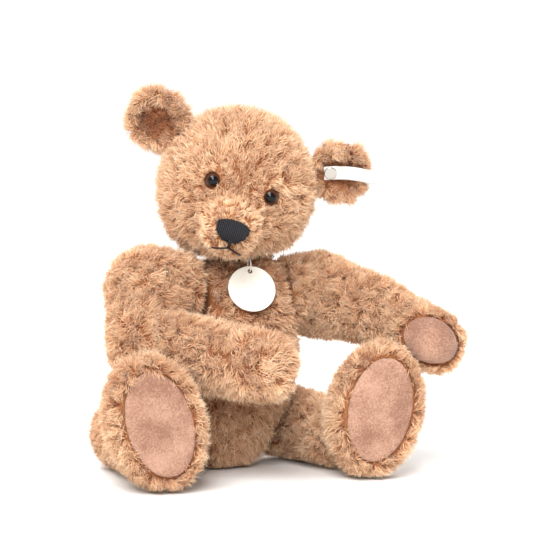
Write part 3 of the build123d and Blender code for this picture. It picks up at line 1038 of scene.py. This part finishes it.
# Warp threads lie 0.3 mm apart, drawn at twice that so that they show.
warp = add_node(
    tree,
    "ShaderNodeTexWave",
    settings={"bands_direction": "Z"},
    values={"Scale": 520.0, "Distortion": 0.6, "Detail": 1.0},
    links={"Vector": place.outputs["Object"]},
)
tone = add_node(
    tree,
    "ShaderNodeMix",
    settings={"data_type": "RGBA"},
    links={"Factor": warp.outputs["Fac"]},
)
tone.inputs[6].default_value = linear("#E6E4DE")
tone.inputs[7].default_value = linear("#F8F7F4")
ridge = add_node(
    tree,
    "ShaderNodeBump",
    values={"Strength": 0.3, "Distance": 0.0001},
    links={"Height": warp.outputs["Fac"]},
)
finish_material(
    tree,
    add_node(
        tree,
        "ShaderNodeBsdfPrincipled",
        values={"Roughness": 0.45, "Sheen Weight": 0.2},
        links={"Base Color": tone.outputs[2], "Normal": ridge.outputs[0]},
    ),
)
ribbon_facet = 1.6 * mm
wave_height = 0.5       # mm
wave_run = 5.5 * mm     # along the ribbon for one radian of the wave
wave_start = 14 * mm    # the wave is full this far from the button
ribbon = bmesh.new()
ribbon.from_mesh(nodes["ear_flag"].data)
bmesh.ops.remove_doubles(ribbon, verts=ribbon.verts, dist=weld_gap)
for _ in range(4):
    wide = [edge for edge in ribbon.edges if edge.calc_length() > ribbon_facet]
    bmesh.ops.subdivide_edges(ribbon, edges=wide, cuts=1)
bmesh.ops.triangulate(ribbon, faces=ribbon.faces)
bmesh.ops.recalc_face_normals(ribbon, faces=ribbon.faces)
flag_start = centre("ear_button")
for vert in ribbon.verts:
    run = (Vector(vert.co) - Vector(flag_start)).length
    wave = math.sin(run / wave_run)
    vert.co += head_front * wave_height * mm * wave * min(1.0, run / wave_start)
flag = settle(ribbon, "ear_flag_ribbon", satin, "head")
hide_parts("ear_flag")

# ---- Pads ----------------------------------------------------------------
# Foot soles and paws in dense wool felt, cut to an oval and hand-sewn into
# the plush; the filling behind crowns each a little.

felt, tree = new_material("wool_felt")
place = add_node(tree, "ShaderNodeTexCoord")
# Nap of about 0.3 mm, drawn near 1 mm so that its speckle shows.
fuzz = add_node(
    tree,
    "ShaderNodeTexNoise",
    values={"Scale": 900.0, "Detail": 3.0, "Roughness": 0.6},
    links={"Vector": place.outputs["Object"]},
)
cloud = add_node(
    tree,
    "ShaderNodeTexNoise",
    values={"Scale": 60.0, "Detail": 3.0},
    links={"Vector": place.outputs["Object"]},
)
mottle = add_node(tree, "ShaderNodeMath", settings={"operation": "ADD"})
tree.links.new(fuzz.outputs["Fac"], mottle.inputs[0])
tree.links.new(cloud.outputs["Fac"], mottle.inputs[1])
mottle_span = add_node(
    tree,
    "ShaderNodeMapRange",
    values={"From Min": 0.8, "From Max": 1.22},
    links={"Value": mottle.outputs[0]},
)
tone = add_node(
    tree,
    "ShaderNodeMix",
    settings={"data_type": "RGBA"},
    links={"Factor": mottle_span.outputs[0]},
)
tone.inputs[6].default_value = linear("#8C6553")
tone.inputs[7].default_value = linear("#B8917B")
ridge = add_node(
    tree,
    "ShaderNodeBump",
    values={"Strength": 0.8, "Distance": 0.0005},
    links={"Height": fuzz.outputs["Fac"]},
)
finish_material(
    tree,
    add_node(
        tree,
        "ShaderNodeBsdfPrincipled",
        values={"Roughness": 0.95, "Specular IOR Level": 0.1, "Sheen Weight": 0.3},
        links={"Base Color": tone.outputs[2], "Normal": ridge.outputs[0]},
    ),
)


lump_rise, lump_size = 0.25 * mm, 16 * mm  # uneven filling felt through the pad
pad_rise = 0.2 * mm                        # felt stays this far above the table


def facing(name, behind):
    """Direction that a flat CAD node faces, away from a point behind it."""
    points = np.array([v.co for v in nodes[name].data.vertices])
    middle = centre(name)
    axis = np.linalg.svd(points - points.mean(0), full_matrices=False)[2][2]
    return axis * np.sign(axis @ (middle - behind)), middle


def felt_pad(name, node, body, behind, crown):
    """Felt oval, its rim rounded and its middle pushed out by the filling."""
    out, middle = facing(node, behind)
    shape = merged_copy([node], voxel=1.0 * mm, smooth_steps=2, inset=0.0)
    points = np.array([v.co for v in shape.verts]) - middle
    flat = points - np.outer(points @ out, out)
    spans = np.linalg.svd(flat, full_matrices=False)[2]
    reach = [np.abs(flat @ span).max() for span in spans[:2]]
    far = np.sqrt(sum((flat @ span / size) ** 2 for span, size in zip(spans[:2], reach)))
    swell = crown * (1 - far**2).clip(0) + lump_rise * (soft_noise(points, lump_size, 11) - 0.5)
    for vert, rise in zip(shape.verts, swell):
        vert.co += Vector(out) * float(rise)
        vert.co.z = max(vert.co.z, pad_rise)
    pad = settle(shape, name, felt, body)
    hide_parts(node)
    return out, middle


# ---- Arms ----------------------------------------------------------------
# Bent plush tubes, jointed at the shoulder, curving forward to a round paw
# with a felt pad set into its palm.

flare_reach = 45 * mm  # pile flares round a pad within this distance of its middle


def limb_flow(start, middle, out):
    """Pile runs down the limb, then flares round the pad at its end."""

    def flow(points):
        down = unit(points - start) * 0.35 + unit(middle - points) * 0.65
        apart = points - middle
        flare = unit(apart - np.outer(apart @ out, out)) + out * 0.3
        near = (1 - np.linalg.norm(apart, axis=1) / flare_reach).clip(0, 1)[:, None]
        return down * (1 - near) + flare * near * 1.6

    return flow


for side in ("right", "left"):
    body = f"arm_{side}"
    arm = plush(
        f"arm_{side}_plush",
        body,
        [f"arm_{side}_skin", f"arm_{side}_stuffing", f"paw_pad_{side}"],
    )
    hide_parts(f"arm_{side}_skin", f"arm_{side}_stuffing")
    shoulder = centre(f"shoulder_{side}_arm_disc")
    inside = centre(f"arm_{side}_stuffing")
    out, middle = felt_pad(f"paw_{side}_felt", f"paw_pad_{side}", body, inside, crown=1.0 * mm)
    pile(
        arm,
        f"arm_{side}_pile",
        count=58000,
        flow=limb_flow(shoulder, middle, out),
        length=even_length,
        others=outer(body),
        bare=[f"paw_pad_{side}"],
    )

# ---- Legs ----------------------------------------------------------------
# Plump plush legs, jointed at the hip, ending in long feet whose felt soles
# are kept flat by a hardboard insole.

for side in ("right", "left"):
    body = f"leg_{side}"
    leg = plush(
        f"leg_{side}_plush",
        body,
        [f"leg_{side}_skin", f"leg_{side}_stuffing", f"foot_pad_{side}", f"foot_insole_{side}"],
    )
    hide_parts(f"leg_{side}_skin", f"leg_{side}_stuffing")
    hip = centre(f"hip_{side}_leg_disc")
    out, middle = felt_pad(f"sole_{side}_felt", f"foot_pad_{side}", body, hip, crown=1.4 * mm)
    pile(
        leg,
        f"leg_{side}_pile",
        count=64000,
        flow=limb_flow(hip, middle, out),
        length=even_length,
        others=outer(body),
        bare=[f"foot_pad_{side}"],
    )

# ---- Chest tag and insoles -----------------------------------------------
# A blank disc of coated card hangs from the chest on a loop of white cotton.
# The insoles inside the feet are the same board as the joint discs.

# Coated card: cream, smooth and a little glossy.
card, tree = new_material("coated_card")
place = add_node(tree, "ShaderNodeTexCoord")
fibres = add_node(
    tree,
    "ShaderNodeTexNoise",
    values={"Scale": 700.0, "Detail": 4.0},
    links={"Vector": place.outputs["Object"]},
)
tone = add_node(
    tree,
    "ShaderNodeMix",
    settings={"data_type": "RGBA"},
    links={"Factor": fibres.outputs["Fac"]},
)
tone.inputs[6].default_value = linear("#E9E3D4")
tone.inputs[7].default_value = linear("#F7F3EA")
finish_material(
    tree,
    add_node(
        tree,
        "ShaderNodeBsdfPrincipled",
        values={"Roughness": 0.4},
        links={"Base Color": tone.outputs[2]},
    ),
)
dress("chest_tag", card)
dress("foot_insole_right", hardboard)
dress("foot_insole_left", hardboard)
# Soft off-white cotton, its ply seen as slanting bands.
cotton, tree = new_material("white_cotton_thread")
place = add_node(tree, "ShaderNodeTexCoord")
ply = add_node(
    tree,
    "ShaderNodeTexWave",
    settings={"bands_direction": "DIAGONAL"},
    values={"Scale": 600.0, "Distortion": 1.0},
    links={"Vector": place.outputs["Object"]},
)
tone = add_node(
    tree,
    "ShaderNodeMix",
    settings={"data_type": "RGBA"},
    links={"Factor": ply.outputs["Fac"]},
)
tone.inputs[6].default_value = linear("#D9D4C8")
tone.inputs[7].default_value = linear("#F6F3EC")
finish_material(
    tree,
    add_node(
        tree,
        "ShaderNodeBsdfPrincipled",
        values={"Roughness": 0.7},
        links={"Base Color": tone.outputs[2]},
    ),
)
dress("tag_loop", cotton)
